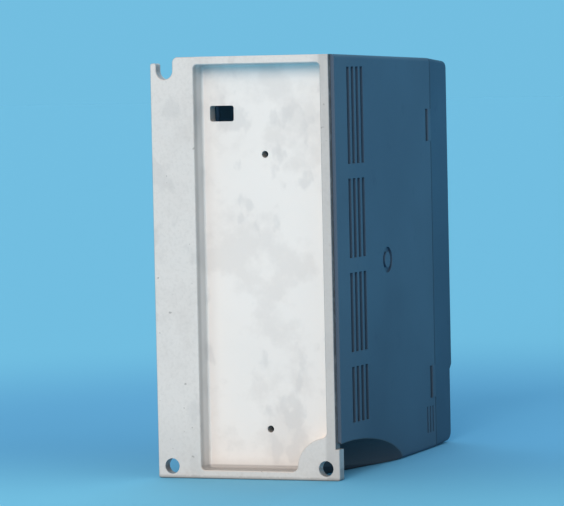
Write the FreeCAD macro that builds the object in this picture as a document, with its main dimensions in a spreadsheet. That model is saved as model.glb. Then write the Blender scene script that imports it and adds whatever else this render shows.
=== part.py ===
"""Servo drive housing: die-cast mounting base, moulded case, clip-on front cover, case screws.

Working axes: X runs across the mounting face from its left edge, Y runs from the mounting
face (Y = 0) towards the front cover, Z runs up from the lower edge of the mounting plate.
Each finished piece is then placed so that the whole housing stands centred on the origin.
"""
import FreeCAD, Part
import math
import os

import Sketcher

NODES_FOLDER = "parts"

# Name, value (mm, or degrees where the note says so), meaning.
DIMENSIONS = [
    # mounting plate of the casting
    ("plate_width", 72.8, "mounting plate, left edge to right edge"),
    ("plate_height", 160.0, "mounting plate, lower edge to upper edge"),
    ("plate_thickness", 4.4, "mounting plate"),
    ("plate_corner", 0.8, "small corner radius of the plate outline"),
    ("tab_reach", 1.45, "foot tab beyond the right edge, flush with the case"),
    ("tab_height", 11.8, "top of the foot tab above the lower edge"),
    ("hole_inset", 5.75, "left hole and notch axis from the left edge"),
    ("tab_hole_inset", 4.05, "right hole axis from the right edge"),
    ("hole_rise", 4.5, "foot hole axes above the lower edge"),
    ("hole_bore", 5.95, "foot holes, clearance for M5"),
    ("notch_width", 6.7, "hanging notch, open at the top"),
    ("notch_drop", 5.0, "upper edge to the notch seat centre"),
    ("ear_drop", 2.2, "ear left of the notch, below the upper edge"),
    ("ear_round", 0.9, "upper corners of the ear"),
    ("shoulder_round", 2.2, "plate corner right of the notch"),
    ("face_bevel", 0.3, "edges of the mounting face, all but the foot holes"),
    # recess in the mounting face
    ("recess_inset", 17.7, "left edge of the plate to the recess"),
    ("side_rim", 3.6, "recess to the right edge of the plate"),
    ("top_rim", 3.0, "recess to the upper edge of the plate"),
    ("foot_rim", 3.1, "recess to the lower edge of the plate"),
    ("recess_depth", 8.0, "mounting face to the recess floor"),
    ("recess_draft", 1.5, "degrees, recess walls"),
    ("recess_corner", 1.6, "corner radius of the recess"),
    ("recess_fillet", 1.0, "recess walls into the recess floor"),
    ("floor_thickness", 5.0, "recess floor"),
    ("pad_radius", 11.5, "corner pad round the right foot hole"),
    ("pad_blend", 2.5, "corner pad into the recess edge"),
    ("window_width", 9.8, "window through the recess floor"),
    ("window_height", 6.0, "window through the recess floor"),
    ("window_corner", 0.9, "corner radius of the window"),
    ("window_across", 25.9, "window centre from the left edge of the plate"),
    ("window_drop", 21.7, "window centre below the upper edge of the plate"),
    ("floor_bore", 2.7, "small holes through the recess floor"),
    ("floor_bore_across", 43.3, "small holes from the left edge of the plate"),
    ("floor_bore_rise", 18.45, "lower small hole above the lower edge"),
    ("floor_bore_pitch", 104.2, "between the small holes"),
    # driver scoop at the right foot screw
    ("scoop_radius", 10.55, "driver scoop about the foot screw"),
    ("scoop_lean", 12.7, "degrees, scoop axis outwards"),
    ("scoop_dip", 3.15, "degrees, scoop axis downwards"),
    ("scoop_flare", 33.0, "degrees, scoop flanks below its axis"),
    # moulded case
    ("case_inset", 12.65, "left side of the case from the left edge of the plate"),
    ("case_lift", 0.5, "case above the lower edge of the plate, at the plate"),
    ("seam_depth", 107.5, "mounting face to the front edge of the case"),
    ("wall", 1.6, "case wall"),
    ("side_draft", 0.5, "degrees, case sides"),
    ("roof_draft", 1.2, "degrees, case top and bottom"),
    ("case_corner", 1.5, "long edges of case and cover, upright front edges of the cover"),
    ("lip_lap", 2.2, "case lip over the right edge of the plate"),
    ("lip_gap", 0.05, "case lip to the right edge of the plate"),
    ("tab_gap", 0.2, "case lip to the top of the foot tab"),
    ("seat_gap", 0.1, "casting block to the inside of the case"),
    ("vent_start", 16.43, "mounting face to the first vent slot centre"),
    ("vent_pitch", 4.79, "between vent slots"),
    ("vent_slot", 2.7, "width of a vent slot"),
    ("vent_rows", 4, "vent slots side by side"),
    ("vent_foot", 20.6, "lowest vent slots above the lower edge of the plate"),
    ("vent_bar", 5.6, "between one group of vent slots and the next"),
    ("vent_first", 21.1, "slot length, lowest group"),
    ("vent_second", 30.0, "slot length, second group"),
    ("vent_third", 30.0, "slot length, third group"),
    ("vent_fourth", 36.6, "slot length, highest group"),
    ("roof_vent_length", 24.0, "slot length, top and bottom of the case"),
    ("roof_vent_start", 34.0, "mounting face to the top and bottom slots"),
    ("roof_vent_pitch", 5.2, "between top and bottom slots"),
    ("roof_vent_rows", 7, "slots in the top and in the bottom"),
    ("roof_vent_shift", 6.0, "top and bottom slots to the left of the middle"),
    ("gate_bore", 10.0, "round recess in the middle of the right side"),
    ("gate_depth", 0.8, "round recess"),
    ("gate_pip", 6.0, "raised pip in the round recess"),
    ("latch_length", 12.7, "latch slots"),
    ("latch_slot", 2.4, "width of a latch slot"),
    ("latch_setback", 3.2, "front edge of the case to a latch slot"),
    ("latch_pitch", 102.1, "between upper and lower latch slots"),
    ("strip_rise", 0.25, "strip between a latch slot and the seam, proud of the case side"),
    ("grip_length", 10.4, "finger grip grooves"),
    ("grip_groove", 1.1, "width of a grip groove"),
    ("grip_pitch", 3.1, "between grip grooves"),
    ("grip_depth", 0.35, "grip grooves"),
    ("grip_rows", 3, "grip grooves side by side"),
    ("grip_rise", 9.2, "grip grooves above the lower edge of the plate"),
    ("grip_setback", 3.0, "front edge of the case to the last grip groove"),
    # bosses, lugs and screws that hold the case to the casting
    ("boss_width", 7.0, "screw boss diameter"),
    ("boss_height", 5.0, "screw boss above the casting block"),
    ("boss_root", 1.0, "start of the screw boss inside the casting block"),
    ("thread_bore", 2.5, "tapping hole for M3"),
    ("thread_depth", 8.0, "tapping hole"),
    ("lug_thickness", 3.0, "case lug on a boss"),
    ("lug_bore", 3.4, "clearance hole for M3"),
    ("screw_inset", 11.5, "screw axes from the left and right sides of the case"),
    ("screw_edge", 6.6, "screw axes from the top and bottom of the case"),
    ("screw_scoop_shift", 13.0, "lower right screw further in, clear of the driver scoop"),
    ("screw_length", 9.0, "screw shank under the head"),
    ("screw_shank", 2.4, "screw shank diameter in the tapping hole"),
    ("screw_head", 5.6, "pan head diameter"),
    ("screw_head_height", 2.2, "pan head"),
    ("screw_bevel", 0.5, "bevel round the crown of the pan head"),
    ("cross_width", 0.7, "cross recess, width of an arm"),
    ("cross_span", 3.2, "cross recess, end to end"),
    ("cross_depth", 1.3, "cross recess"),
    # front cover
    ("seam_gap", 0.35, "between case and cover"),
    ("cover_depth", 19.8, "front edge of the case to the lower face of the cover"),
    ("cover_wall", 2.0, "cover wall"),
    ("cover_side_draft", 1.5, "degrees, cover sides"),
    ("cover_roof_draft", 4.0, "degrees, cover top and bottom"),
    ("cover_brow", 3.0, "upper front edge of the cover"),
    ("cover_chin", 4.0, "lower front edge of the cover"),
    ("panel_rise", 2.1, "upper panel proud of the lower face"),
    ("panel_foot", 35.8, "foot of the upper panel above the lower edge of the plate"),
    ("tongue_reach", 7.5, "cover tongue inside the case"),
    ("tongue_wall", 1.5, "cover tongue"),
    ("tongue_root", 3.0, "cover tongue inside the cover"),
    ("tongue_gap", 0.15, "cover tongue to the inside of the case"),
    ("hook_gap", 0.35, "latch hook to the edges of its slot"),
    ("hook_sink", 0.3, "latch hook tip below the outside of the case"),
    ("finger_slit", 1.0, "slits beside a latch finger"),
    ("finger_margin", 1.0, "latch finger beyond its hook, each end"),
    ("display_width", 30.0, "display window of the cover"),
    ("display_height", 13.0, "display window of the cover"),
    ("display_corner", 1.2, "corner radius of the display window"),
    ("display_drop", 24.0, "display window centre below the upper edge of the plate"),
    ("bezel_margin", 3.5, "bezel recess beyond the display window"),
    ("bezel_depth", 0.6, "bezel recess"),
    ("bezel_drop", 13.5, "bezel recess below the display window, round the key holes"),
    ("key_bore", 5.6, "key holes"),
    ("key_pitch", 9.5, "between key holes"),
    ("key_rows", 4, "key holes side by side"),
    ("key_drop", 14.0, "display window centre to the key holes"),
    ("port_width", 13.0, "connector openings"),
    ("port_height", 30.0, "connector openings"),
    ("port_corner", 1.0, "corner radius of the openings"),
    ("port_inset", 9.0, "connector openings from the right side of the case"),
    ("port_rise", 42.0, "foot of the lower connector opening above the lower edge of the plate"),
    ("port_gap", 6.0, "between the connector openings"),
    ("port_rows", 2, "connector openings, one above the other"),
    ("gland_width", 34.0, "cable opening low on the cover"),
    ("gland_height", 13.0, "cable opening low on the cover"),
    ("gland_rise", 14.0, "cable opening above the lower edge of the plate"),
]

# Lengths worked out from the driving dimensions.
WORKED = [
    ("case_right", "dims.plate_width + dims.tab_reach"),
    ("case_bottom", "dims.case_lift"),
    ("case_top", "dims.plate_height"),
    ("middle_across", "(dims.case_inset + worked.case_right) / 2"),
    ("middle_rise", "(worked.case_bottom + worked.case_top) / 2"),
    ("block_depth", "dims.recess_depth + dims.floor_thickness"),
    ("boss_face", "worked.block_depth + dims.boss_height"),
    ("lug_face", "worked.boss_face + dims.lug_thickness"),
    ("tab_axis", "dims.plate_width - dims.tab_hole_inset"),
    ("cover_back", "dims.seam_depth + dims.seam_gap"),
    ("cover_face", "dims.seam_depth + dims.cover_depth"),
    ("cover_front", "worked.cover_face + dims.panel_rise"),
    ("display_rise", "dims.plate_height - dims.display_drop"),
]


def fill_sheet(sheet, rows):
    for row, (alias, content, note) in enumerate(rows, start=1):
        sheet.set(f"A{row}", alias)
        sheet.set(f"B{row}", content)
        sheet.set(f"C{row}", note)
        sheet.setAlias(f"B{row}", alias)


doc = FreeCAD.newDocument("servo_drive_housing")
dims = doc.addObject("Spreadsheet::Sheet", "dims")
fill_sheet(dims, [(alias, str(value), note) for alias, value, note in DIMENSIONS])
worked = doc.addObject("Spreadsheet::Sheet", "worked")
fill_sheet(worked, [(alias, "=" + formula.replace("worked.", ""), "") for alias, formula in WORKED])
doc.recompute()


# ---------------------------------------------------------------- sketches and features


def new_body(name):
    body = doc.addObject("PartDesign::Body", name)
    body.Label = name
    return body


def bind(feature, **expressions):
    """Tie properties to the sheets; a double underscore stands for the dot of a sub-property."""
    for path, expression in expressions.items():
        feature.setExpression(path.replace("__", "."), str(expression))


def amount(expression):
    """The present value of an expression on the sheets."""
    value = worked.evalExpression(str(expression))
    return float(getattr(value, "Value", value))


def new_sketch(body, name, plane, setback="0"):
    """A sketch parallel to an origin plane. XZ looks along +Y, YZ looks along -X, XY looks down."""
    sketch = body.newObject("Sketcher::SketchObject", name)
    side = next(item for item in body.Origin.OriginFeatures if item.Role == plane + "_Plane")
    sketch.AttachmentSupport = [(side, "")]
    sketch.MapMode = "FlatFace"
    sign = "-" if plane == "XZ" else ""
    sketch.setExpression("AttachmentOffset.Base.z", f"{sign}({setback})")
    return sketch


class Constraints:
    """Gathers the constraints of a sketch, so that they are all added in one step."""

    def __init__(self, sketch):
        self.sketch = sketch
        self.items = []
        self.bound = []

    def add(self, *arguments):
        self.items.append(Sketcher.Constraint(*arguments))

    def size(self, kind, *references, expression):
        self.bound.append((len(self.items), expression))
        self.add(kind, *references, amount(expression))

    def hold(self, geometry, point, across, rise):
        """Fix a point at an (across, rise) pair of expressions."""
        self.size("DistanceX", -1, 1, geometry, point, expression=across)
        self.size("DistanceY", -1, 1, geometry, point, expression=rise)

    def apply(self):
        first = self.sketch.ConstraintCount
        self.sketch.addConstraint(self.items)
        for index, expression in self.bound:
            self.sketch.setExpression(f"Constraints[{first + index}]", str(expression))


def circle(sketch, across, rise, diameter):
    centre = FreeCAD.Vector(amount(across), amount(rise), 0)
    ring = Part.Circle(centre, FreeCAD.Vector(0, 0, 1), amount(diameter) / 2)
    geometry = sketch.addGeometry(ring, False)
    constraints = Constraints(sketch)
    constraints.hold(geometry, 3, across, rise)
    constraints.size("Diameter", geometry, expression=diameter)
    constraints.apply()


def rounding(before, corner, after, radius):
    """The ends and the middle of the arc that rounds a corner."""
    first = (before - corner).normalize()
    second = (after - corner).normalize()
    half_angle = first.getAngle(second) / 2
    reach = radius / math.tan(half_angle)
    inward = (first + second).normalize()
    middle = corner + inward * (radius / math.sin(half_angle) - radius)
    return corner + first * reach, middle, corner + second * reach


def outline(sketch, corners):
    """A closed outline. Each corner is (across, rise) or, rounded, (across, rise, radius)."""
    points = [FreeCAD.Vector(amount(corner[0]), amount(corner[1]), 0) for corner in corners]
    count = len(points)
    arcs = {}
    for i, corner in enumerate(corners):
        if len(corner) > 2:
            arcs[i] = rounding(points[i - 1], points[i], points[(i + 1) % count], amount(corner[2]))
    lines = []
    for i in range(count):
        j = (i + 1) % count
        start = arcs[i][2] if i in arcs else points[i]
        end = arcs[j][0] if j in arcs else points[j]
        lines.append(sketch.addGeometry(Part.LineSegment(start, end), False))
    constraints = Constraints(sketch)
    for i, corner in enumerate(corners):
        into = lines[i - 1]
        out = lines[i]
        if i not in arcs:
            constraints.add("Coincident", into, 2, out, 1)
            constraints.hold(out, 1, corner[0], corner[1])
            continue
        arc = sketch.addGeometry(Part.Arc(*arcs[i]), False)
        turned = sketch.Geometry[arc].StartPoint.distanceToPoint(arcs[i][0]) > 1e-6
        constraints.add("Tangent", into, 2, arc, 2 if turned else 1)
        constraints.add("Tangent", out, 1, arc, 1 if turned else 2)
        constraints.size("Radius", arc, expression=corner[2])
        mark = sketch.addGeometry(Part.Point(points[i]), True)
        constraints.add("PointOnObject", mark, 1, into)
        constraints.add("PointOnObject", mark, 1, out)
        constraints.hold(mark, 1, corner[0], corner[1])
    constraints.apply()


def rectangle(sketch, left, right, bottom, top, radius=None):
    corners = [(left, bottom), (right, bottom), (right, top), (left, top)]
    if radius is not None:
        corners = [corner + (radius,) for corner in corners]
    outline(sketch, corners)


def arch(sketch, across, rise, radius, foot, half_foot):
    """A half circle with two legs down, or up, to a foot line of its own half width."""
    half = amount(radius)
    way = 1 if amount(foot) < amount(rise) else -1
    centre = FreeCAD.Vector(amount(across), amount(rise), 0)
    ends = [centre - FreeCAD.Vector(half, 0, 0), centre + FreeCAD.Vector(half, 0, 0)]
    start, end = (ends[1], ends[0]) if way == 1 else (ends[0], ends[1])
    crown = Part.Arc(start, centre + FreeCAD.Vector(0, way * half, 0), end)
    feet = [FreeCAD.Vector(amount(across) + side * amount(half_foot), amount(foot), 0)
            for side in (-1, 1)]
    arc = sketch.addGeometry(crown, False)
    left = sketch.addGeometry(Part.LineSegment(ends[0], feet[0]), False)
    base = sketch.addGeometry(Part.LineSegment(feet[0], feet[1]), False)
    right = sketch.addGeometry(Part.LineSegment(feet[1], ends[1]), False)
    left_end, right_end = (2, 1) if way == 1 else (1, 2)
    constraints = Constraints(sketch)
    constraints.add("Coincident", arc, left_end, left, 1)
    constraints.add("Coincident", left, 2, base, 1)
    constraints.add("Coincident", base, 2, right, 1)
    constraints.add("Coincident", right, 2, arc, right_end)
    constraints.add("Horizontal", arc, 3, arc, left_end)
    constraints.add("Horizontal", arc, 3, arc, right_end)
    constraints.hold(arc, 3, across, rise)
    constraints.size("Radius", arc, expression=radius)
    constraints.hold(base, 1, f"{across} - {half_foot}", foot)
    constraints.hold(base, 2, f"{across} + {half_foot}", foot)
    constraints.apply()


def extrude(kind, body, name, sketch, length, reverse, lean=None, draft=None):
    """A Pad or Pocket; lean is a direction in body axes, length is measured along the normal."""
    feature = body.newObject("PartDesign::" + kind, name)
    feature.Profile = sketch
    feature.Reversed = reverse
    sketch.Visibility = False
    if length is None:
        feature.Type = "ThroughAll"
    else:
        feature.Type = "Length"
        bind(feature, Length=length)
    if lean is not None:
        feature.UseCustomVector = True
        feature.AlongSketchNormal = True
        bind(feature, Direction__x=lean[0], Direction__y=lean[1], Direction__z=lean[2])
    if draft is not None:
        bind(feature, TaperAngle=draft)
    return feature


def pad(body, name, sketch, length, reverse=False, **options):
    return extrude("Pad", body, name, sketch, length, reverse, **options)


def pocket(body, name, sketch, length=None, reverse=False, **options):
    return extrude("Pocket", body, name, sketch, length, reverse, **options)


def taper_block(body, name, kind, rear, front):
    """A drafted block along Y. rear and front are (depth, left, right, bottom, top)."""
    block = body.newObject("PartDesign::" + kind, name)
    bind(block, Ymin=rear[0], Xmin=rear[1], Xmax=rear[2], Zmin=rear[3], Zmax=rear[4])
    bind(block, Ymax=front[0], X2min=front[1], X2max=front[2], Z2min=front[3], Z2max=front[4])
    return block


def repeat(body, name, feature, plane_axis, pitch, count):
    """A row of copies of a feature along an origin axis of the body."""
    pattern = body.newObject("PartDesign::LinearPattern", name)
    axis = next(item for item in body.Origin.OriginFeatures if item.Role == plane_axis + "_Axis")
    pattern.Originals = [feature]
    pattern.Direction = (axis, [""])
    pattern.Mode = "Spacing"
    bind(pattern, Offset=pitch, Occurrences=count)
    body.Tip = pattern
    doc.recompute()
    return pattern


def reach(edge):
    """Least and greatest depth of an edge."""
    return edge.BoundBox.YMin, edge.BoundBox.YMax


def across_depth(start, end):
    """A test for edges that run from one depth to another."""
    ends = (amount(start), amount(end))
    return lambda edge: all(abs(a - b) < 0.02 for a, b in zip(reach(edge), ends))


def at_depth(depth):
    """A test for edges that lie at a depth."""
    return across_depth(depth, depth)


def upright_corner(across, rise):
    """A test for the edge through the plate at a corner of its outline."""
    centre = FreeCAD.Vector(amount(across), amount("dims.plate_thickness / 2"), amount(rise))
    return lambda edge: edge.BoundBox.Center.distanceToPoint(centre) < 0.02


def on_pad(edge):
    """Whether an edge starts on the round pad of the right foot hole."""
    centre = FreeCAD.Vector(amount("worked.tab_axis"), 0, amount("dims.hole_rise"))
    rear = min((vertex.Point for vertex in edge.Vertexes), key=lambda point: point.y)
    return abs(rear.distanceToPoint(centre) - amount("dims.pad_radius")) < 0.02


def dress_edges(kind, body, name, base, picked):
    """A Fillet or Chamfer on the edges of a feature that the test picks."""
    doc.recompute()
    names = [f"Edge{i}" for i, edge in enumerate(base.Shape.Edges, start=1) if picked(edge)]
    dressed = body.newObject("PartDesign::" + kind, name)
    dressed.Base = (base, names)
    return dressed


def round_edges(body, name, base, picked, radius):
    fillet = dress_edges("Fillet", body, name, base, picked)
    bind(fillet, Radius=radius)
    return fillet


def bevel_edges(body, name, base, picked, width):
    bevel = dress_edges("Chamfer", body, name, base, picked)
    bind(bevel, Size=width)
    return bevel


def combine(body, name, tool, kind):
    """Join or cut a body with another that belongs to it from then on."""
    boolean = body.newObject("PartDesign::Boolean", name)
    boolean.setObjects([tool])
    boolean.Type = kind
    return boolean


# ---------------------------------------------------------------- shared forms

SCOOP_LEAN = ("tan(dims.scoop_lean)", "1", "-tan(dims.scoop_dip)")


def case_section(depth, inset):
    """Depth, left, right, bottom and top of the drafted case form, moved inwards by inset."""
    run = f"({depth} - dims.plate_thickness)"
    left = f"(dims.case_inset + {inset} + {run} * tan(dims.side_draft))"
    right = f"(worked.case_right - {inset} - {run} * tan(dims.side_draft))"
    bottom = f"(worked.case_bottom + {inset} + {run} * tan(dims.roof_draft))"
    top = f"(worked.case_top - {inset} - {run} * tan(dims.roof_draft))"
    return depth, left, right, bottom, top


def scoop_profile(sketch, depth, skin):
    """Section of the driver scoop at a depth: an arch over the foot screw, skin larger."""
    radius = f"(dims.scoop_radius + {skin})"
    across = f"(worked.tab_axis + {depth} * tan(dims.scoop_lean))"
    rise = f"(dims.hole_rise - {depth} * tan(dims.scoop_dip))"
    half_foot = f"({radius} * (1 + 2 * tan(dims.scoop_flare)))"
    arch(sketch, across, rise, radius, f"({rise} - 2 * {radius})", half_foot)


def screw_places():
    """The four case screws as (across, rise)."""
    left = "(dims.case_inset + dims.screw_inset)"
    right = "(worked.case_right - dims.screw_inset)"
    low_right = "(worked.case_right - dims.screw_inset - dims.screw_scoop_shift)"
    low = "(worked.case_bottom + dims.screw_edge)"
    high = "(worked.case_top - dims.screw_edge)"
    return [(left, low), (low_right, low), (left, high), (right, high)]


# ---------------------------------------------------------------- die-cast base


def make_recess_core():
    """The hollow in the mounting face, stepped back round the pad of the right foot hole."""
    core = new_body("recess_core")
    sketch = new_sketch(core, "recess_outline", "XZ")
    rectangle(sketch, "dims.recess_inset", "dims.plate_width - dims.side_rim", "dims.foot_rim",
              "dims.plate_height - dims.top_rim", "dims.recess_corner")
    pad(core, "recess_form", sketch, "dims.recess_depth", reverse=True, draft="-dims.recess_draft")
    ring = new_sketch(core, "pad_circle", "XZ")
    circle(ring, "worked.tab_axis", "dims.hole_rise", "2 * dims.pad_radius")
    stepped = pocket(core, "pad_step", ring)
    full_depth = across_depth("0", "dims.recess_depth")
    blends = round_edges(core, "pad_blends", stepped,
                         lambda edge: full_depth(edge) and on_pad(edge), "dims.pad_blend")
    round_edges(core, "recess_fillets", blends, at_depth("dims.recess_depth"),
                "dims.recess_fillet")
    return core


def make_base_casting():
    core = make_recess_core()
    body = new_body("base_casting")
    seat = "(dims.wall + dims.seat_gap)"
    taper_block(body, "block", "AdditiveWedge",
                case_section("0", seat), case_section("worked.block_depth", seat))

    scoop = new_sketch(body, "scoop_section", "XZ", "dims.plate_thickness")
    scoop_profile(scoop, "dims.plate_thickness", "0")
    pocket(body, "scoop", scoop, "worked.block_depth", lean=SCOOP_LEAN)

    plate = new_sketch(body, "plate_outline", "XZ")
    ear_top = "(dims.plate_height - dims.ear_drop)"
    outline(plate, [
        ("0", "0", "dims.plate_corner"),
        ("worked.case_right", "0", "dims.plate_corner"),
        ("worked.case_right", "dims.tab_height"),
        ("dims.plate_width", "dims.tab_height"),
        ("dims.plate_width", "dims.plate_height"),
        ("dims.hole_inset", "dims.plate_height"),
        ("dims.hole_inset", ear_top),
        ("0", ear_top, "dims.ear_round"),
    ])
    pad(body, "plate", plate, "dims.plate_thickness", reverse=True)

    notch = new_sketch(body, "notch_outline", "XZ")
    arch(notch, "dims.hole_inset", "(dims.plate_height - dims.notch_drop)",
         "(dims.notch_width / 2)", "(dims.plate_height + 1)", "(dims.notch_width / 2)")
    open_top = pocket(body, "notch", notch)
    shoulder = round_edges(body, "shoulder", open_top,
                           upright_corner("dims.hole_inset + dims.notch_width / 2",
                                          "dims.plate_height"), "dims.shoulder_round")
    round_edges(body, "ear", shoulder,
                upright_corner("dims.hole_inset - dims.notch_width / 2", ear_top),
                "dims.ear_round")

    foot_holes = new_sketch(body, "foot_hole_circles", "XZ")
    circle(foot_holes, "dims.hole_inset", "dims.hole_rise", "dims.hole_bore")
    circle(foot_holes, "worked.tab_axis", "dims.hole_rise", "dims.hole_bore")
    pocket(body, "foot_holes", foot_holes, "dims.plate_thickness")

    hollowed = combine(body, "recess", core, "Cut")
    on_face = at_depth("0")
    bevel_edges(body, "face_edges", hollowed,
                lambda edge: on_face(edge) and len(edge.Vertexes) > 1, "dims.face_bevel")

    openings = new_sketch(body, "floor_openings", "XZ", "dims.plate_thickness")
    half_width = "dims.window_width / 2"
    half_height = "dims.window_height / 2"
    window_rise = "(dims.plate_height - dims.window_drop)"
    rectangle(openings, f"dims.window_across - {half_width}", f"dims.window_across + {half_width}",
              f"{window_rise} - {half_height}", f"{window_rise} + {half_height}",
              "dims.window_corner")
    circle(openings, "dims.floor_bore_across", "dims.floor_bore_rise", "dims.floor_bore")
    circle(openings, "dims.floor_bore_across", "dims.floor_bore_rise + dims.floor_bore_pitch",
           "dims.floor_bore")
    pocket(body, "floor_cuts", openings)

    bosses = new_sketch(body, "boss_circles", "XZ", "worked.block_depth - dims.boss_root")
    threads = new_sketch(body, "thread_circles", "XZ", "worked.boss_face - dims.thread_depth")
    for across, rise in screw_places():
        circle(bosses, across, rise, "dims.boss_width")
        circle(threads, across, rise, "dims.thread_bore")
    pad(body, "bosses", bosses, "dims.boss_height + dims.boss_root", reverse=True)
    pocket(body, "threads", threads)
    return body


# ---------------------------------------------------------------- moulded case


def make_case_core():
    """The hollow of the case, with a groove left for the wall of the driver scoop."""
    core = new_body("case_core")
    taper_block(core, "hollow", "AdditiveWedge",
                case_section("0", "dims.wall"), case_section("(dims.seam_depth + 5)", "dims.wall"))
    skin = new_sketch(core, "scoop_wall_section", "XZ", "worked.block_depth + dims.seat_gap")
    scoop_profile(skin, "(worked.block_depth + dims.seat_gap)", "dims.wall")
    pocket(core, "scoop_wall", skin, "dims.seam_depth", lean=SCOOP_LEAN)
    return core


def make_case_shell():
    core = make_case_core()
    body = new_body("case_shell")
    lip_depth = "(dims.plate_thickness - dims.lip_lap)"
    form = taper_block(body, "form", "AdditiveWedge",
                       case_section(lip_depth, "0"), case_section("dims.seam_depth", "0"))
    round_edges(body, "long_edges", form, across_depth(lip_depth, "dims.seam_depth"),
                "dims.case_corner")
    combine(body, "hollow", core, "Cut")

    behind_plate = new_sketch(body, "plate_seat", "XZ", "0")
    rectangle(behind_plate, "-1", "dims.plate_width + dims.lip_gap", "-1", "dims.plate_height + 1")
    pocket(body, "rear_face", behind_plate, "dims.plate_thickness")
    behind_tab = new_sketch(body, "tab_seat", "XZ", "0")
    rectangle(behind_tab, "dims.plate_width", "worked.case_right + 1", "-1",
              "dims.tab_height + dims.tab_gap")
    pocket(body, "tab_face", behind_tab, "dims.plate_thickness")

    scoop = new_sketch(body, "scoop_section", "XZ", "0")
    scoop_profile(scoop, "0", "0")
    pocket(body, "scoop", scoop, "dims.seam_depth", lean=SCOOP_LEAN)

    make_vents(body)
    make_latch_slots(body)
    make_grips(body)
    make_gate_recess(body)
    make_lugs(body)
    return body


def make_vents(body):
    column = new_sketch(body, "vent_column", "YZ", "-1")
    foot = "dims.vent_foot"
    for length in ("vent_first", "vent_second", "vent_third", "vent_fourth"):
        top = f"{foot} + dims.{length}"
        rectangle(column, "dims.vent_start - dims.vent_slot / 2",
                  "dims.vent_start + dims.vent_slot / 2", foot, top)
        foot = f"{top} + dims.vent_bar"
    slots = pocket(body, "vent_slots", column, reverse=True)
    repeat(body, "vent_rows", slots, "Y", "dims.vent_pitch", "dims.vent_rows")

    half_run = "(dims.roof_vent_pitch * (dims.roof_vent_rows - 1) / 2)"
    first = f"(worked.middle_across - dims.roof_vent_shift - {half_run})"
    top_slot = new_sketch(body, "roof_slot", "XY", "-1")
    rectangle(top_slot, f"{first} - dims.vent_slot / 2", f"{first} + dims.vent_slot / 2",
              "dims.roof_vent_start", "dims.roof_vent_start + dims.roof_vent_length")
    roof_slots = pocket(body, "roof_slots", top_slot, reverse=True)
    repeat(body, "roof_rows", roof_slots, "X", "dims.roof_vent_pitch", "dims.roof_vent_rows")


def latch_places():
    """Lower and upper ends of the two latch slots on a side."""
    for half_pitch in ("-dims.latch_pitch / 2", "dims.latch_pitch / 2"):
        centre = f"(worked.middle_rise + {half_pitch})"
        yield f"({centre} - dims.latch_length / 2)", f"({centre} + dims.latch_length / 2)"


def make_latch_slots(body):
    """Slots for the hooks of the cover, each with a raised strip between it and the seam."""
    sketch = new_sketch(body, "latch_windows", "YZ", "-1")
    near = "(dims.seam_depth - dims.latch_setback - dims.latch_slot)"
    for bottom, top in latch_places():
        rectangle(sketch, near, "dims.seam_depth - dims.latch_setback", bottom, top)
    pocket(body, "latch_slots", sketch, reverse=True)

    _, left, right, _, _ = case_section("dims.seam_depth", "(-dims.strip_rise)")
    _, inner_left, inner_right, _, _ = case_section("dims.seam_depth", "(dims.wall / 2)")
    for name, start, end in (("left", left, inner_left), ("right", inner_right, right)):
        strips = new_sketch(body, f"strips_{name}_profile", "YZ", start)
        for bottom, top in latch_places():
            rectangle(strips, "dims.seam_depth - dims.latch_setback", "dims.seam_depth", bottom, top)
        pad(body, f"strips_{name}", strips, f"{end} - {start}")


def make_grips(body):
    """Shallow grooves beside the lower latches, on both sides of the case."""
    first = "(dims.seam_depth - dims.grip_setback - dims.grip_pitch * (dims.grip_rows - 1))"
    _, left, right, _, _ = case_section(first, "dims.grip_depth")
    for name, face, outwards in (("left", left, False), ("right", right, True)):
        sketch = new_sketch(body, f"grip_{name}", "YZ", face)
        rectangle(sketch, f"{first} - dims.grip_groove / 2", f"{first} + dims.grip_groove / 2",
                  "dims.grip_rise", "dims.grip_rise + dims.grip_length")
        groove = pocket(body, f"grip_groove_{name}", sketch, "5", reverse=outwards)
        repeat(body, f"grip_rows_{name}", groove, "Y", "dims.grip_pitch", "dims.grip_rows")


def make_gate_recess(body):
    centre = "((dims.plate_thickness + dims.seam_depth) / 2)"
    face = case_section(centre, "dims.gate_depth")[2]
    sketch = new_sketch(body, "gate_ring", "YZ", face)
    circle(sketch, centre, "worked.middle_rise", "dims.gate_bore")
    circle(sketch, centre, "worked.middle_rise", "dims.gate_pip")
    pocket(body, "gate_recess", sketch, "5", reverse=True)


def make_lugs(body):
    """Lugs on the top and bottom walls that the screws clamp to the bosses of the casting."""
    sketch = new_sketch(body, "lug_profiles", "XZ", "worked.boss_face")
    inner_bottom = "(worked.case_bottom + dims.wall)"
    inner_top = "(worked.case_top - dims.wall)"
    for across, rise in screw_places():
        low_side = "screw_edge" in rise and "case_bottom" in rise
        bottom = inner_bottom if low_side else f"{rise} - dims.boss_width / 2"
        top = f"{rise} + dims.boss_width / 2" if low_side else inner_top
        rectangle(sketch, f"{across} - dims.boss_width / 2", f"{across} + dims.boss_width / 2",
                  bottom, top)
        circle(sketch, across, rise, "dims.lug_bore")
    pad(body, "lugs", sketch, "dims.lug_thickness", reverse=True)


# ---------------------------------------------------------------- case screws


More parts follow.
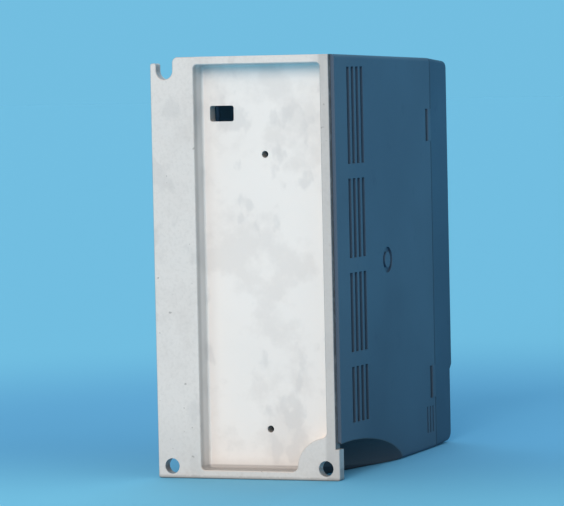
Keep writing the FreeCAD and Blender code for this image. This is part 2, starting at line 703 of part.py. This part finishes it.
def make_case_screws():
    """Four pan head screws, each a solid of its own."""
    body = new_body("case_screws")
    body.AllowCompound = True
    shanks = new_sketch(body, "shank_circles", "XZ", "worked.lug_face - dims.screw_length")
    heads = new_sketch(body, "head_circles", "XZ", "worked.lug_face")
    head_face = "(worked.lug_face + dims.screw_head_height)"
    recess_floor = f"({head_face} - dims.cross_depth)"
    crosses = new_sketch(body, "cross_arms", "XZ", recess_floor)
    slots = new_sketch(body, "cross_bars", "XZ", recess_floor)
    half_arm = "dims.cross_width / 2"
    half_span = "dims.cross_span / 2"
    for across, rise in screw_places():
        circle(shanks, across, rise, "dims.screw_shank")
        circle(heads, across, rise, "dims.screw_head")
        rectangle(crosses, f"{across} - {half_span}", f"{across} + {half_span}",
                  f"{rise} - {half_arm}", f"{rise} + {half_arm}")
        rectangle(slots, f"{across} - {half_arm}", f"{across} + {half_arm}",
                  f"{rise} - {half_span}", f"{rise} + {half_span}")
    pad(body, "shanks", shanks, "dims.screw_length", reverse=True)
    crowns = pad(body, "heads", heads, "dims.screw_head_height", reverse=True)
    bevel_edges(body, "crown_bevels", crowns, at_depth(head_face), "dims.screw_bevel")
    pocket(body, "cross_across", crosses)
    pocket(body, "cross_upright", slots)
    return body


# ---------------------------------------------------------------- front cover


def cover_section(depth, inset):
    """Depth, left, right, bottom and top of the drafted cover form, moved inwards by inset."""
    run = f"({depth} - dims.seam_depth)"
    _, left, right, bottom, top = case_section("dims.seam_depth", inset)
    side = f"{run} * tan(dims.cover_side_draft)"
    roof = f"{run} * tan(dims.cover_roof_draft)"
    return (depth, f"({left} + {side})", f"({right} - {side})",
            f"({bottom} + {roof})", f"({top} - {roof})")


def lower_form(body, back, inset):
    """The cover up to its lower face or, moved inwards by inset, the hollow in it."""
    return taper_block(body, "lower_form", "AdditiveWedge", cover_section(back, inset),
                       cover_section(f"(worked.cover_face - {inset})", inset))


def panel_back():
    """Depth of the hidden rear of the panel, inside the lower block."""
    return "(worked.cover_face - dims.cover_brow - 2)"


def panel_form(body, inset):
    """The raised upper panel, its foot sloping at 45 degrees, or the hollow in it."""
    back = panel_back()
    front = f"(worked.cover_front - {inset})"
    foot = f"(dims.panel_foot + {inset})"
    _, left, right, _, top = cover_section(back, inset)
    rear = (back, left, right, f"({foot} - ({front} - {back}))", top)
    _, left, right, _, top = cover_section(front, inset)
    return taper_block(body, "panel_form", "AdditiveWedge", rear, (front, left, right, foot, top))


def front_edge(face, upper):
    """A test for the upper, or the lower, front edge of a block of the cover."""
    at_face = at_depth(face)
    middle = amount("worked.middle_rise")
    return lambda edge: (at_face(edge) and edge.BoundBox.ZLength < 0.02
                         and (edge.BoundBox.ZMin > middle) == upper)


def round_sides(body, base, back):
    """Round the long edges and the upright front edges of a block, one chain for each side."""
    start = amount(back)
    foot = amount("dims.panel_foot")

    def on_side(edge):
        box = edge.BoundBox
        slope = abs(box.ZLength - box.YLength) < 0.02 and box.ZMax < foot + 0.02
        return box.YMax > start + 0.1 and box.XLength < 5 and not (slope and box.YMin < start + 0.1)

    return round_edges(body, "side_edges", base, on_side, "dims.case_corner")


def make_cover_panel():
    panel = new_body("cover_panel")
    form = panel_form(panel, "0")
    brow = round_edges(panel, "brow", form, front_edge("worked.cover_front", True),
                       "dims.cover_brow")
    round_sides(panel, brow, panel_back())
    return panel


def make_cover_core():
    core = new_body("cover_core")
    lower_form(core, "(worked.cover_back + dims.tongue_root)", "dims.cover_wall")
    panel_form(core, "dims.cover_wall")
    bore = "(dims.wall + dims.tongue_gap + dims.tongue_wall)"
    taper_block(core, "tongue_hollow", "AdditiveWedge",
                case_section("(dims.seam_depth - dims.tongue_reach - 1)", bore),
                case_section("(worked.cover_back + dims.tongue_root + 1)", bore))
    return core


def make_front_cover():
    core = make_cover_core()
    panel = make_cover_panel()
    body = new_body("front_cover")
    form = lower_form(body, "worked.cover_back", "0")
    brow = round_edges(body, "brow", form, front_edge("worked.cover_face", True),
                       "dims.cover_brow")
    chin = round_edges(body, "chin", brow, front_edge("worked.cover_face", False),
                       "dims.cover_chin")
    round_sides(body, chin, "worked.cover_back")
    combine(body, "with_panel", panel, "Fuse")
    seat = "(dims.wall + dims.tongue_gap)"
    taper_block(body, "tongue", "AdditiveWedge",
                case_section("(dims.seam_depth - dims.tongue_reach)", seat),
                case_section("(worked.cover_back + dims.tongue_root)", seat))
    combine(body, "hollow", core, "Cut")
    make_latch_fingers(body)
    make_cover_openings(body)
    return body


def make_latch_fingers(body):
    """Slits that free four fingers of the tongue, and a hook on each finger."""
    rear = "(dims.seam_depth - dims.tongue_reach)"
    slits = new_sketch(body, "finger_slits", "YZ", "-1")
    near = "(dims.seam_depth - dims.latch_setback - dims.latch_slot)"
    for bottom, top in latch_places():
        for edge, way in ((bottom, "-"), (top, "+")):
            inner = f"({edge} {way} dims.finger_margin)"
            outer = f"({inner} {way} dims.finger_slit)"
            low, high = (outer, inner) if way == "-" else (inner, outer)
            rectangle(slits, f"{rear} - 1", "dims.seam_depth - dims.seam_gap", low, high)
    pocket(body, "slits", slits, reverse=True)

    _, left, right, _, _ = case_section(near, "dims.hook_sink")
    _, inner_left, inner_right, _, _ = case_section(
        near, "(dims.wall + dims.tongue_gap + dims.tongue_wall / 2)")
    for name, start, end in (("left", left, inner_left), ("right", inner_right, right)):
        profile = new_sketch(body, f"hooks_{name}_profile", "YZ", start)
        for bottom, top in latch_places():
            rectangle(profile, f"{near} + dims.hook_gap",
                      "dims.seam_depth - dims.latch_setback - dims.hook_gap",
                      f"{bottom} + dims.hook_gap", f"{top} - dims.hook_gap")
        pad(body, f"hooks_{name}", profile, f"{end} - {start}")


def make_cover_openings(body):
    inside = "worked.cover_back + dims.tongue_root + 1"
    middle = "worked.middle_across"
    half_width = "dims.display_width / 2"
    half_height = "dims.display_height / 2"
    cuts = new_sketch(body, "display_outline", "XZ", inside)
    rectangle(cuts, f"{middle} - {half_width}", f"{middle} + {half_width}",
              f"worked.display_rise - {half_height}", f"worked.display_rise + {half_height}",
              "dims.display_corner")
    pocket(body, "display_window", cuts)

    bezel = new_sketch(body, "bezel_outline", "XZ", "worked.cover_front - dims.bezel_depth")
    margin = "dims.bezel_margin"
    rectangle(bezel, f"{middle} - {half_width} - {margin}", f"{middle} + {half_width} + {margin}",
              f"worked.display_rise - {half_height} - {margin} - dims.bezel_drop",
              f"worked.display_rise + {half_height} + {margin}", "dims.display_corner")
    pocket(body, "bezel", bezel)

    key = new_sketch(body, "key_circle", "XZ", inside)
    first_key = f"{middle} - dims.key_pitch * (dims.key_rows - 1) / 2"
    circle(key, first_key, "worked.display_rise - dims.key_drop", "dims.key_bore")
    keys = pocket(body, "key_hole", key)
    repeat(body, "key_holes", keys, "X", "dims.key_pitch", "dims.key_rows")

    port = new_sketch(body, "port_outline", "XZ", inside)
    port_right = "(worked.case_right - dims.port_inset)"
    rectangle(port, f"{port_right} - dims.port_width", port_right, "dims.port_rise",
              "dims.port_rise + dims.port_height", "dims.port_corner")
    ports = pocket(body, "port", port)
    repeat(body, "ports", ports, "Z", "dims.port_height + dims.port_gap", "dims.port_rows")

    gland = new_sketch(body, "gland_outline", "XZ", inside)
    rectangle(gland, f"{middle} - dims.gland_width / 2", f"{middle} + dims.gland_width / 2",
              "dims.gland_rise", "dims.gland_rise + dims.gland_height", "dims.port_corner")
    pocket(body, "gland", gland)


# ---------------------------------------------------------------- build, check and write


def check_document():
    failed = [item.Name for item in doc.Objects if {"Invalid", "Error"} & set(item.State)]
    if failed:
        raise RuntimeError("failed: " + ", ".join(failed))


def place(body):
    """Stand the housing centred on the origin."""
    bind(body, Placement__Base__x="-worked.case_right / 2", Placement__Base__y="-worked.cover_front / 2")


def main():
    nodes = [make_base_casting(), make_case_shell(), make_front_cover(), make_case_screws()]
    for body in nodes:
        place(body)
    doc.recompute()
    check_document()
    os.makedirs(NODES_FOLDER, exist_ok=True)
    for body in nodes:
        if body.Shape.isNull() or not body.Shape.isValid():
            raise RuntimeError("bad shape: " + body.Label)
    for body in nodes:
        body.Shape.exportStep(os.path.join(NODES_FOLDER, body.Label + ".step"))
        print(body.Label, round(body.Shape.Volume), len(body.Shape.Solids), "solid(s)")


main()
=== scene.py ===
"""Looks of the drive housing: cast aluminium base, slate-blue case and cover, zinc screws."""
import math

import bpy
from mathutils import Matrix, Vector


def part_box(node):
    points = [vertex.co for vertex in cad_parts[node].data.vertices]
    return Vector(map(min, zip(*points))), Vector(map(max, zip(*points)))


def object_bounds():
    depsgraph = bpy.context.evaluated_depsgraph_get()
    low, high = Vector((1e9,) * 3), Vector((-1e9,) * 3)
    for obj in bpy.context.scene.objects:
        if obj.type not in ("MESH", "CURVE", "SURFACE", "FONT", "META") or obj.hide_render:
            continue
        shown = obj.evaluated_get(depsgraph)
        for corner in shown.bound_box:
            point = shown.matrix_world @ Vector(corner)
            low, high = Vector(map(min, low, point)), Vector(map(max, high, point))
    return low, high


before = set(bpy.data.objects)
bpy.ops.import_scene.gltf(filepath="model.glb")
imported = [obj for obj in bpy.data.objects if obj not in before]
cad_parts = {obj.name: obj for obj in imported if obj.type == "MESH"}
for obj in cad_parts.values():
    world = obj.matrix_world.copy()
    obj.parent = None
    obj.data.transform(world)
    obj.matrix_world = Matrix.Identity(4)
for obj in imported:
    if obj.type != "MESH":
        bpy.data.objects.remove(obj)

cad_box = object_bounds()

MM = 0.001

# Mounting plate and its recess.
PLATE_LEFT = cad_box[0].x
PLATE_RIGHT = PLATE_LEFT + 72.8 * MM
PLATE_THICKNESS = 4.4 * MM
TAB_RIGHT = PLATE_LEFT + 74.25 * MM
TAB_TOP = 11.8 * MM
RECESS_LEFT = PLATE_LEFT + 17.7 * MM
RECESS_DEPTH = 8.0 * MM
FOOT_RIM = 3.1 * MM

# Planes of the mounting face and of the seam between case and cover.
FACE_PLANE = cad_box[0].y
SEAM_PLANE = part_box("case_shell")[1].y

# Driver scoop: its axis from the right foot hole, and the slope of its flanks below the axis.
SCOOP_ACROSS = PLATE_LEFT + 68.75 * MM
SCOOP_RISE = 4.5 * MM
SCOOP_RADIUS = 10.55 * MM
SCOOP_LEAN = math.tan(math.radians(12.7))
SCOOP_DIP = math.tan(math.radians(3.15))
SCOOP_FLARE = math.tan(math.radians(33))

# Light from the surroundings, colours of the moulded plastic, and colours of the painted shade on
# it.
ROOM = (0.46, 0.44, 0.43)
BACKDROP = (0.170, 0.515, 0.750)
CASE_BLUE = (0.046, 0.091, 0.151)
CASE_GREYER = (0.068, 0.104, 0.150)
CASE_SCOOP_SHADE = (0.026, 0.026, 0.030)
COVER_BLUE = (0.0225, 0.062, 0.122)
COVER_WORN = (0.050, 0.092, 0.150)
COVER_SEAM_SHADE = (0.010, 0.018, 0.030)


# ---------------------------------------------------------------- node trees and finishes


class Wire:
    """An output of a node tree. Arithmetic on wires adds Math nodes to that tree."""

    def __init__(self, nodes, socket):
        self.nodes = nodes
        self.socket = socket

    def __add__(self, other):
        return self.nodes.math("ADD", self, other)

    def __radd__(self, other):
        return self.nodes.math("ADD", other, self)

    def __sub__(self, other):
        return self.nodes.math("SUBTRACT", self, other)

    def __rsub__(self, other):
        return self.nodes.math("SUBTRACT", other, self)

    def __mul__(self, other):
        return self.nodes.math("MULTIPLY", self, other)

    def __rmul__(self, other):
        return self.nodes.math("MULTIPLY", other, self)

    def above(self, low, high):
        """0 below low, 1 above high, smooth in between."""
        return self.nodes.node("ShaderNodeMapRange", {"interpolation_type": "SMOOTHSTEP"},
                               {"Value": self, "From Min": low, "From Max": high})

    def below(self, low, high):
        """1 below low, 0 above high, smooth in between."""
        return 1 - self.above(low, high)


class Nodes:
    """The node tree of a material or of the surroundings, built from wires."""

    def __init__(self, tree):
        self.tree = tree

    def put(self, value, socket):
        """Links a wire to a socket, or sets the socket's own value."""
        if isinstance(value, Wire):
            self.tree.links.new(value.socket, socket)
        else:
            socket.default_value = value

    def node(self, kind, settings=None, values=None, output=0):
        """Adds a node: settings first, then a value or a wire for each named or numbered socket."""
        made = self.tree.nodes.new(kind)
        for name, value in (settings or {}).items():
            setattr(made, name, value)
        for key, value in (values or {}).items():
            self.put(value, made.inputs[key])
        return Wire(self, made.outputs[output])

    def math(self, operation, *values):
        return self.node("ShaderNodeMath", {"operation": operation}, dict(enumerate(values)))

    def split(self, vector):
        """The three parts of a vector."""
        first = self.node("ShaderNodeSeparateXYZ", None, {"Vector": vector})
        return [Wire(self, part) for part in first.socket.node.outputs]

    def blend(self, share, first, second):
        """Mixes two colours, each a wire or (r, g, b)."""
        values = {"Factor": share}
        for socket, colour in ((6, first), (7, second)):
            values[socket] = colour if isinstance(colour, Wire) else (*colour, 1.0)
        return self.node("ShaderNodeMix", {"data_type": "RGBA"}, values, output=2)


class Finish(Nodes):
    """A material with a Principled shader. Its constants go onto the shader's own sockets."""

    def __init__(self, name, **constants):
        self.material = bpy.data.materials.new(name)
        self.material.use_nodes = True
        super().__init__(self.material.node_tree)
        self.shader = next(n for n in self.tree.nodes if n.type == "BSDF_PRINCIPLED")
        for socket, value in constants.items():
            self.feed(socket, value)
        self.place = self.node("ShaderNodeTexCoord", output="Object")

    def feed(self, socket, value):
        self.put(value, self.shader.inputs[socket])

    def axes(self):
        """Across the housing, depth behind its mounting face, and rise above its foot."""
        across, along, rise = self.split(self.place)
        return across, along - FACE_PLANE, rise

    def noise(self, size, detail, roughness, stretch=(1, 1, 1)):
        """Noise with patches of about this size, in metres."""
        place = self.node("ShaderNodeMapping", None, {"Vector": self.place, "Scale": stretch})
        return self.node("ShaderNodeTexNoise", None, {"Vector": place, "Scale": 1 / size,
                                                      "Detail": detail, "Roughness": roughness})

    def bump(self, height, strength, reach, over=None):
        values = {"Height": height, "Strength": strength, "Distance": reach}
        if over is not None:
            values["Normal"] = over
        return self.node("ShaderNodeBump", None, values)


def cast_aluminium():
    """Bare die casting: pale grey, clouded by the die spray, duller on its outer face, with painted
    shade in its recess, along the edge it stands on and by its foot tab.
    """
    finish = Finish("cast_aluminium", Metallic=0.2, IOR=1.5)
    across, depth, rise = finish.axes()
    broad = finish.noise(60 * MM, 2.0, 0.5).above(0.35, 0.65)
    clouds = finish.noise(21 * MM, 4.0, 0.6).above(0.46, 0.62)
    drops = finish.noise(10 * MM, 3.0, 0.5, (1.0, 1.0, 0.7)).above(0.57, 0.67)
    ragged = finish.noise(3 * MM, 3.0, 0.7, (1.0, 1.0, 0.5)).above(0.30, 0.55)
    pits = finish.noise(2.3 * MM, 1.0, 0.4).above(0.73, 0.77)
    speckle = finish.noise(1.3 * MM, 2.0, 0.6).above(0.40, 0.75)

    # Mounting face: all of it, its right rim, its foot, and painted contact shadow along the edge
    # that the plate stands on.
    face = depth.below(0.2 * MM, 0.8 * MM)
    rim = face * across.above(PLATE_RIGHT - 4.7 * MM, PLATE_RIGHT - 3.2 * MM)
    foot = face * rise.below(10 * MM, 30 * MM)
    sill_shadow = rise.below(0.3 * MM, 1.1 * MM + ragged * (0.5 * MM))

    # Recess: painted shade on its walls, along the mouth of its left wall, on its lower wall, on
    # its floor by its left and lower walls, and in its holes.
    inner = 1 - face
    wall = depth.above(0.3 * MM, 0.9 * MM)
    wall = wall * depth.below(RECESS_DEPTH - 1.4 * MM, RECESS_DEPTH - 0.2 * MM)
    mouth = depth.above(0.0, 0.2 * MM) * depth.below(1.8 * MM, 4.0 * MM)
    left_wall = across.below(RECESS_LEFT + 0.6 * MM, RECESS_LEFT + 1.0 * MM)
    left_band = across.below(RECESS_LEFT + 0.9 * MM, RECESS_LEFT + 5.9 * MM)
    foot_wall = rise.below(FOOT_RIM + 1.1 * MM, FOOT_RIM + 1.9 * MM)
    foot_band = rise.below(FOOT_RIM + 0.9 * MM, FOOT_RIM + 4.9 * MM)
    bored = depth.above(RECESS_DEPTH + 0.3 * MM, RECESS_DEPTH + 0.8 * MM)

    # Painted shade on the right edge of the plate along the case above the foot tab, and on the
    # side of that tab.
    beside = across.above(PLATE_RIGHT - 0.22 * MM, PLATE_RIGHT - 0.08 * MM)
    over_tab = rise.above(TAB_TOP - 0.1 * MM, TAB_TOP + 0.1 * MM)
    tab_side = across.above(TAB_RIGHT - 0.17 * MM, TAB_RIGHT - 0.08 * MM)

    tone = finish.blend(broad * 0.4, (0.82, 0.79, 0.76), (0.76, 0.735, 0.71))
    for share, colour in (
            (clouds * 0.38, (0.62, 0.60, 0.585)),
            (drops * 0.38, (0.57, 0.56, 0.555)),
            (face * (0.36 + speckle * 0.14), (0.50, 0.485, 0.465)),
            (rim * 0.5, (0.36, 0.352, 0.345)),
            (foot * 0.22, (0.40, 0.41, 0.405)),
            # Painted shade in the recess and its holes.
            (inner * left_band * 0.30, (0.50, 0.51, 0.52)),
            (inner * foot_band * 0.35, (0.45, 0.46, 0.47)),
            (wall * 0.35, (0.42, 0.42, 0.42)),
            (inner * foot_wall * 0.60, (0.20, 0.20, 0.20)),
            (mouth * left_wall * 0.40, (0.22, 0.22, 0.215)),
            (bored * 0.6, (0.22, 0.22, 0.22)),
            # Painted contact shadow along the edge the plate stands on.
            (sill_shadow * 0.55, (0.16, 0.155, 0.15)),
            # Painted shade beside the case above the tab, and on the tab's side.
            (beside * over_tab * (0.70 + ragged * 0.22), (0.080, 0.080, 0.085)),
            (tab_side * 0.6, (0.22, 0.23, 0.24)),
            (pits * face * 0.6, (0.25, 0.24, 0.23))):
        tone = finish.blend(share, tone, colour)
    finish.feed("Base Color", tone)
    finish.feed("Roughness", 0.48 + clouds * 0.10 + speckle * 0.08)
    waves = finish.bump(finish.noise(14 * MM, 2.0, 0.5), 0.25, 0.6 * MM)
    grain = finish.noise(0.7 * MM, 3.0, 0.65)
    finish.feed("Normal", finish.bump(grain, 0.25, 0.08 * MM, waves))
    return finish.material


def in_scoop(finish):
    """Mask of painted shade in the hollow of the driver scoop: an arch over a leaning axis, with
    sloping flanks below.
    """
    across, depth, rise = finish.axes()
    aside = across - SCOOP_ACROSS - depth * SCOOP_LEAN
    over = rise - SCOOP_RISE + depth * SCOOP_DIP
    upper = finish.math("MAXIMUM", over, 0.0)
    lower = finish.math("MAXIMUM", 0.0 - over, 0.0)
    distance = finish.math("SQRT", aside * aside + upper * upper) - lower * SCOOP_FLARE
    return distance.below(SCOOP_RADIUS + 0.05 * MM, SCOOP_RADIUS + 0.45 * MM) * 0.85


def on_tongue(finish):
    """Mask of painted shade on the tongue and hooks of the cover, and a little along its rear edge
    by the seam.
    """
    _, depth, _ = finish.axes()
    seam = SEAM_PLANE - FACE_PLANE
    tongue = depth.below(seam - 0.2 * MM, seam)
    edge = depth.below(seam + 0.5 * MM, seam + 1.6 * MM)
    return finish.math("MAXIMUM", tongue * 0.9, edge * 0.35)


def moulded_plastic(name, colour, greyer, shade_colour, shade_mask):
    """Moulded plastic: a fine eroded texture, slight rubbing, painted shade towards its bottom, and
    painted shade where the shade mask is set.
    """
    finish = Finish(name, IOR=1.48)
    _, depth, rise = finish.axes()
    drift = finish.noise(50 * MM, 2.0, 0.5).above(0.3, 0.7)
    rubbed = finish.noise(9 * MM, 4.0, 0.65).above(0.58, 0.78)
    rear = depth.below(8 * MM, 38 * MM)
    low = rise.below(0.0, 130 * MM)
    deep = tuple(0.58 * c for c in colour)
    # Painted shade darkens the plastic towards the bottom; the drift is a random change of tone.
    tone = finish.blend(drift * 0.20 + low * 0.65, colour, deep)
    # Greyer, lighter tone on the rubbed patches and on the rear band of the case across the vents.
    tone = finish.blend(rubbed * 0.14 + rear * 0.45, tone, greyer)
    # Painted shade where the shade mask is set.
    finish.feed("Base Color", finish.blend(shade_mask(finish), tone, shade_colour))
    finish.feed("Roughness", 0.46 + drift * 0.06 + rubbed * 0.08)
    finish.feed("Normal", finish.bump(finish.noise(0.6 * MM, 3.0, 0.7), 0.30, 0.07 * MM))
    return finish.material


def zinc_steel():
    """Bright zinc plating with a slight yellow cast in patches."""
    finish = Finish("zinc_steel", Metallic=1.0)
    cloud = finish.noise(1.8 * MM, 3.0, 0.6).above(0.35, 0.65)
    finish.feed("Base Color", finish.blend(cloud, (0.62, 0.62, 0.60), (0.52, 0.51, 0.45)))
    finish.feed("Roughness", 0.28 + cloud * 0.12)
    finish.feed("Normal", finish.bump(finish.noise(0.3 * MM, 2.0, 0.6), 0.2, 0.03 * MM))
    return finish.material


def plain_floor():
    """Light blue floor with painted shade around and behind the housing, and painted light in front
    of it and far off.
    """
    finish = Finish("pale_floor", Roughness=0.9)
    across, along, _ = finish.split(finish.place)
    reach = finish.math("SQRT", across * across + along * along)
    cloud = finish.noise(250 * MM, 2.0, 0.5).above(0.3, 0.7)
    darker = finish.blend(cloud * 0.3, (0.096, 0.364, 0.606), (0.090, 0.342, 0.572))
    # Painted shade near the housing; painted light in front of it and far off.
    away = finish.math("MAXIMUM", reach.above(0.21, 0.52), along.below(-0.16, 0.03))
    finish.feed("Base Color", finish.blend(away, darker, (0.147, 0.488, 0.693)))
    return finish.material


def dress(node, material):
    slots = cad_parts[node].data.materials
    slots.clear()
    slots.append(material)


dress("base_casting", cast_aluminium())
dress("case_shell", moulded_plastic("case_plastic", CASE_BLUE, CASE_GREYER, CASE_SCOOP_SHADE, in_scoop))
dress("front_cover", moulded_plastic("cover_plastic", COVER_BLUE, COVER_WORN, COVER_SEAM_SHADE,
                                     on_tongue))
dress("case_screws", zinc_steel())


# ---------------------------------------------------------------- floor, light and camera


def make_floor():
    """The floor, tilted because the housing leans back on the foot of its plate and its cover."""
    plate_low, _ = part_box("base_casting")
    cover_low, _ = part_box("front_cover")
    clearance = 0.02 * MM
    heel = plate_low.y + PLATE_THICKNESS
    slope = math.atan2(cover_low.z - plate_low.z - clearance, SEAM_PLANE - heel)
    bpy.ops.object.select_all(action="DESELECT")
    bpy.ops.mesh.primitive_plane_add(size=8.0, location=(0, 0, 0))
    floor = bpy.context.object
    floor.name = "floor"
    floor.data.transform(Matrix.Translation((0, heel, 0)) @ Matrix.Rotation(slope, 4, "X"))
    floor.data.materials.append(plain_floor())


def make_surroundings():
    """Blue backdrop behind the housing and low all round it, a pale room above the front."""
    world = bpy.data.worlds.new("studio")
    bpy.context.scene.world = world
    world.use_nodes = True
    nodes = Nodes(world.node_tree)
    sky = next(n for n in nodes.tree.nodes if n.type == "BACKGROUND")
    _, along, up = nodes.split(nodes.node("ShaderNodeTexCoord", output="Generated"))
    share = nodes.math("MAXIMUM", along.above(-0.25, 0.45), up.below(0.05, 0.13))
    nodes.put(nodes.blend(share, ROOM, BACKDROP), sky.inputs["Color"])


def sun(name, azimuth, elevation, strength, spread, colour, shine=True):
    """Even light, from degrees to the right of the mounting face and degrees above level."""
    data = bpy.data.lights.new(name, "SUN")
    data.energy = strength
    data.angle = math.radians(spread)
    data.color = colour
    lamp = bpy.data.objects.new(name, data)
    bpy.context.scene.collection.objects.link(lamp)
    lamp.visible_glossy = shine
    turn = math.radians(azimuth)
    rise = math.radians(elevation)
    level = math.cos(rise)
    away = Vector((math.sin(turn) * level, -math.cos(turn) * level, math.sin(rise)))
    lamp.rotation_euler = away.to_track_quat("Z", "Y").to_euler()


def make_camera():
    """A long lens facing the mounting face from its right and a little above its middle."""
    azimuth = math.radians(22.315)
    elevation = math.radians(2.641)
    roll = math.radians(-1.199)
    from_corner = Vector((0.63894, -1.42839, 0.15690))
    ahead = Vector((-math.sin(azimuth) * math.cos(elevation),
                    math.cos(azimuth) * math.cos(elevation), -math.sin(elevation)))
    level = Vector((math.cos(azimuth), math.sin(azimuth), 0))
    upright = level.cross(ahead)
    right = math.cos(roll) * level + math.sin(roll) * upright
    up = math.cos(roll) * upright - math.sin(roll) * level
    data = bpy.data.cameras.new("camera")
    data.sensor_width = 36
    data.lens = 262.5
    camera = bpy.data.objects.new("camera", data)
    bpy.context.scene.collection.objects.link(camera)
    turned = Matrix((right, up, -ahead)).transposed().to_4x4()
    camera.matrix_world = Matrix.Translation(Vector(cad_box[0]) + from_corner) @ turned
    bpy.context.scene.camera = camera


make_floor()
make_surroundings()
sun("key", 6, 27, 1.97, 34, (1.0, 0.838, 0.728))
sun("fill", 5, 5, 0.50, 40, (1.0, 0.88, 0.78))
sun("side", 75, 30, 0.36, 50, (1.0, 0.99, 0.97))
sun("back", 205, 38, 1.15, 60, (1.0, 0.97, 0.94), shine=False)
make_camera()
bpy.context.scene.view_settings.view_transform = "Standard"
